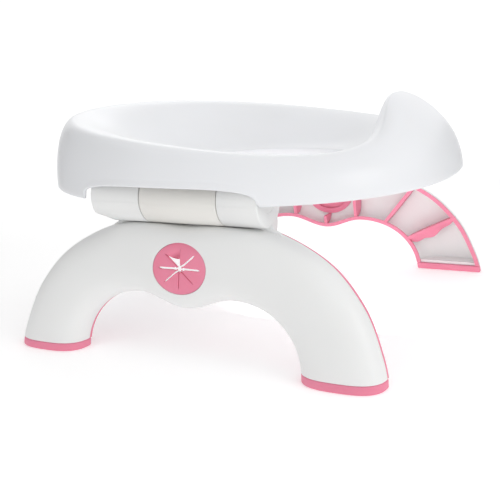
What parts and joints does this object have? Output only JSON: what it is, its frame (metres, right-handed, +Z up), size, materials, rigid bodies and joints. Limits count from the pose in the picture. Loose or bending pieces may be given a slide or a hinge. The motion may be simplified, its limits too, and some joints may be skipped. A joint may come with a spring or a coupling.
{
  "type": "potty training chair",
  "caption": "Folding travel potty chair: an oval seat with a raised splash guard on two arched, hinged legs with soft grip rims and feet.",
  "frame": {"origin": "on the floor under the middle of the seat, with the legs standing", "axes": "+Z up, the splash guard faces -Y, the hinges run along Y at -X (left) and +X (right)"},
  "size_m": [0.3244, 0.335, 0.1819],
  "materials": {
    "gloss_white": "smooth gloss polypropylene",
    "satin_white": "satin moulded polypropylene",
    "soft_pink": "soft-touch thermoplastic rubber",
    "steel": "bright zinc-plated steel",
    "acetal": "natural acetal"
  },
  "bodies": {
    "seat": {"seat_shell": "gloss_white", "hinge_block_left": "satin_white", "hinge_pin_left": "steel", "hinge_washer_front_left": "acetal", "hinge_washer_rear_left": "acetal", "detent_spring_left": "steel", "block_screw_1_left": "steel", "block_screw_2_left": "steel", "block_screw_3_left": "steel", "hinge_block_right": "satin_white", "hinge_pin_right": "steel", "hinge_washer_front_right": "acetal", "hinge_washer_rear_right": "acetal", "detent_spring_right": "steel", "block_screw_1_right": "steel", "block_screw_2_right": "steel", "block_screw_3_right": "steel"},
    "leg_left": {"leg_shell_left": "satin_white", "grip_liner_left": "soft_pink", "slit_disc_left": "soft_pink", "foot_pad_front_left": "soft_pink", "foot_pad_rear_left": "soft_pink", "pin_cap_front_left": "satin_white", "pin_cap_rear_left": "satin_white"},
    "leg_right": {"leg_shell_right": "satin_white", "grip_liner_right": "soft_pink", "slit_disc_right": "soft_pink", "foot_pad_front_right": "soft_pink", "foot_pad_rear_right": "soft_pink", "pin_cap_front_right": "satin_white", "pin_cap_rear_right": "satin_white"},
    "plunger_left": {"detent_plunger_left": "acetal"},
    "plunger_right": {"detent_plunger_right": "acetal"}
  },
  "joints": [
    {"name": "leg_left_hinge", "type": "hinge", "parent": "seat", "child": "leg_left", "pos_m": [-0.126, -0.0055, 0.1188], "axis": [0, 1, 0], "range_deg": [-90, 78.7]},
    {"name": "leg_right_hinge", "type": "hinge", "parent": "seat", "child": "leg_right", "pos_m": [0.126, -0.0055, 0.1188], "axis": [0, -1, 0], "range_deg": [-90, 78.7]},
    {"name": "plunger_left_slide", "type": "slide", "parent": "seat", "child": "plunger_left", "axis": [0, 1, 0], "range_m": [-0.001, 0]},
    {"name": "plunger_right_slide", "type": "slide", "parent": "seat", "child": "plunger_right", "axis": [0, 1, 0], "range_m": [-0.001, 0]}
  ]
}
